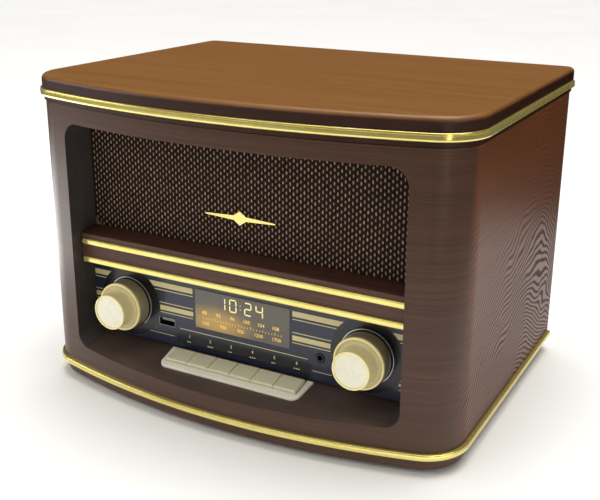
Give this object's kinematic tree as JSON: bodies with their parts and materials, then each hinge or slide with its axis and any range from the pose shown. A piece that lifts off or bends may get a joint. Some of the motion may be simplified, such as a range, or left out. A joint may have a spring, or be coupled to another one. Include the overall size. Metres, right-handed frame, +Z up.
{
  "type": "table radio",
  "caption": "Table radio with a bowed wooden cabinet, hinged lid over a disc deck, cloth speaker grille, display, two knobs, a row of keys and a folding aerial.",
  "frame": {"origin": "centre of the whole object's box, on the surface that the feet stand on", "axes": "+Z up, front faces -Y, +X to the viewer's right"},
  "size_m": [0.3268, 0.2656, 0.2265],
  "materials": {
    "walnut_cabinet": "satin lacquered veneer",
    "dark_rail": "satin",
    "gold_trim": "polished",
    "black_plastic": "fine texture",
    "fibreboard": "raw board",
    "grille_fabric": "woven, flecked",
    "gloss_panel": "gloss",
    "display_window": "clear",
    "display_module": "backlit",
    "circuit_board": "solder mask",
    "ivory_plastic": "satin",
    "pearl_cap": "pearl",
    "socket_steel": "brushed",
    "jack_plastic": "moulded",
    "rubber_foot": "matt",
    "speaker_steel": "painted",
    "speaker_paper": "pressed paper",
    "magnet_ferrite": "ferrite",
    "antenna_chrome": "polished"
  },
  "bodies": {
    "cabinet": {"cabinet_shell": "walnut_cabinet", "plinth": "walnut_cabinet", "base_trim": "gold_trim", "feet": "rubber_foot", "bottom_board": "fibreboard", "fascia_frame": "black_plastic", "speaker_baffle": "fibreboard", "grille_cloth": "grille_fabric", "grille_ornament": "gold_trim", "divider_rail": "dark_rail", "upper_rail_bar": "gold_trim", "lower_rail_bar": "gold_trim", "control_panel": "gloss_panel", "lcd_window": "display_window", "lcd_module": "display_module", "control_board": "circuit_board", "usb_socket": "socket_steel", "phones_jack": "jack_plastic", "volume_dial_ring": "black_plastic", "tuning_dial_ring": "black_plastic", "volume_encoder": "socket_steel", "tuning_encoder": "socket_steel", "key_shelf": "dark_rail", "key_bezel": "ivory_plastic", "key_switch_board": "circuit_board", "left_speaker_basket": "speaker_steel", "right_speaker_basket": "speaker_steel", "left_speaker_magnet": "magnet_ferrite", "right_speaker_magnet": "magnet_ferrite", "main_board": "circuit_board", "transformer": "magnet_ferrite", "deck_plate": "black_plastic", "drive_chassis": "socket_steel", "hinge_base_leaves": "socket_steel", "back_panel": "black_plastic", "back_screws": "socket_steel", "mains_inlet": "black_plastic", "antenna_base": "black_plastic"},
    "volume_spindle": {"volume_shaft": "socket_steel"},
    "tuning_spindle": {"tuning_shaft": "socket_steel"},
    "volume_control": {"volume_knob": "ivory_plastic", "volume_knob_cap": "pearl_cap"},
    "tuning_control": {"tuning_knob": "ivory_plastic", "tuning_knob_cap": "pearl_cap"},
    "key_1_body": {"key_1": "ivory_plastic"},
    "key_2_body": {"key_2": "ivory_plastic"},
    "key_3_body": {"key_3": "ivory_plastic"},
    "key_4_body": {"key_4": "ivory_plastic"},
    "key_5_body": {"key_5": "ivory_plastic"},
    "key_6_body": {"key_6": "ivory_plastic"},
    "left_cone": {"left_speaker_cone": "speaker_paper"},
    "right_cone": {"right_speaker_cone": "speaker_paper"},
    "disc_hub": {"disc_spindle": "jack_plastic"},
    "pickup_sled": {"laser_sled": "jack_plastic"},
    "lid": {"lid_panel": "walnut_cabinet", "lid_trim": "gold_trim", "hinge_lid_leaves": "socket_steel"},
    "antenna_swivel_joint": {"antenna_elbow": "antenna_chrome"},
    "antenna_lower": {"antenna_mast": "antenna_chrome"},
    "antenna_upper": {"antenna_tip": "antenna_chrome"}
  },
  "joints": [
    {"name": "lid_hinge", "type": "hinge", "parent": "cabinet", "child": "lid", "pos_m": [0, 0.1234, 0.20885], "axis": [-1, 0, 0], "range_deg": [0, 80]},
    {"name": "volume_turn", "type": "hinge", "parent": "cabinet", "child": "volume_spindle", "pos_m": [-0.0945, -0.0919, 0.0637], "axis": [0, 1, 0], "continuous": true},
    {"name": "volume_push", "type": "slide", "parent": "volume_spindle", "child": "volume_control", "axis": [0, 1, 0], "range_m": [0, 0.0008], "stiffness_N_per_m": 2500, "springref_m": -0.0004},
    {"name": "tuning_turn", "type": "hinge", "parent": "cabinet", "child": "tuning_spindle", "pos_m": [0.0945, -0.0919, 0.0637], "axis": [0, 1, 0], "continuous": true},
    {"name": "tuning_push", "type": "slide", "parent": "tuning_spindle", "child": "tuning_control", "axis": [0, 1, 0], "range_m": [0, 0.0008], "stiffness_N_per_m": 2500, "springref_m": -0.0004},
    {"name": "key_1_press", "type": "slide", "parent": "cabinet", "child": "key_1_body", "axis": [0, 0.1961, -0.9806], "range_m": [0, 0.0012], "stiffness_N_per_m": 700, "springref_m": -0.0006},
    {"name": "key_2_press", "type": "slide", "parent": "cabinet", "child": "key_2_body", "axis": [0, 0.1961, -0.9806], "range_m": [0, 0.0012], "stiffness_N_per_m": 700, "springref_m": -0.0006},
    {"name": "key_3_press", "type": "slide", "parent": "cabinet", "child": "key_3_body", "axis": [0, 0.1961, -0.9806], "range_m": [0, 0.0012], "stiffness_N_per_m": 700, "springref_m": -0.0006},
    {"name": "key_4_press", "type": "slide", "parent": "cabinet", "child": "key_4_body", "axis": [0, 0.1961, -0.9806], "range_m": [0, 0.0012], "stiffness_N_per_m": 700, "springref_m": -0.0006},
    {"name": "key_5_press", "type": "slide", "parent": "cabinet", "child": "key_5_body", "axis": [0, 0.1961, -0.9806], "range_m": [0, 0.0012], "stiffness_N_per_m": 700, "springref_m": -0.0006},
    {"name": "key_6_press", "type": "slide", "parent": "cabinet", "child": "key_6_body", "axis": [0, 0.1961, -0.9806], "range_m": [0, 0.0012], "stiffness_N_per_m": 700, "springref_m": -0.0006},
    {"name": "left_cone_travel", "type": "slide", "parent": "cabinet", "child": "left_cone", "axis": [0, 1, 0], "range_m": [-0.001, 0.001], "stiffness_N_per_m": 1500},
    {"name": "right_cone_travel", "type": "slide", "parent": "cabinet", "child": "right_cone", "axis": [0, 1, 0], "range_m": [-0.001, 0.001], "stiffness_N_per_m": 1500},
    {"name": "disc_spin", "type": "hinge", "parent": "cabinet", "child": "disc_hub", "pos_m": [0, 0.0126, 0.194], "axis": [0, 0, 1], "continuous": true},
    {"name": "sled_travel", "type": "slide", "parent": "cabinet", "child": "pickup_sled", "axis": [1, 0, 0], "range_m": [0, 0.022]},
    {"name": "antenna_swivel", "type": "hinge", "parent": "cabinet", "child": "antenna_swivel_joint", "pos_m": [0.128, 0.129, 0.172], "axis": [0, 1, 0], "range_deg": [0, 180]},
    {"name": "antenna_tilt", "type": "hinge", "parent": "antenna_swivel_joint", "child": "antenna_lower", "pos_m": [0.128, 0.129, 0.172], "axis": [0, 0, -1], "range_deg": [0, 90]},
    {"name": "antenna_extend", "type": "slide", "parent": "antenna_lower", "child": "antenna_upper", "axis": [-1, 0, 0], "range_m": [0, 0.16]}
  ]
}
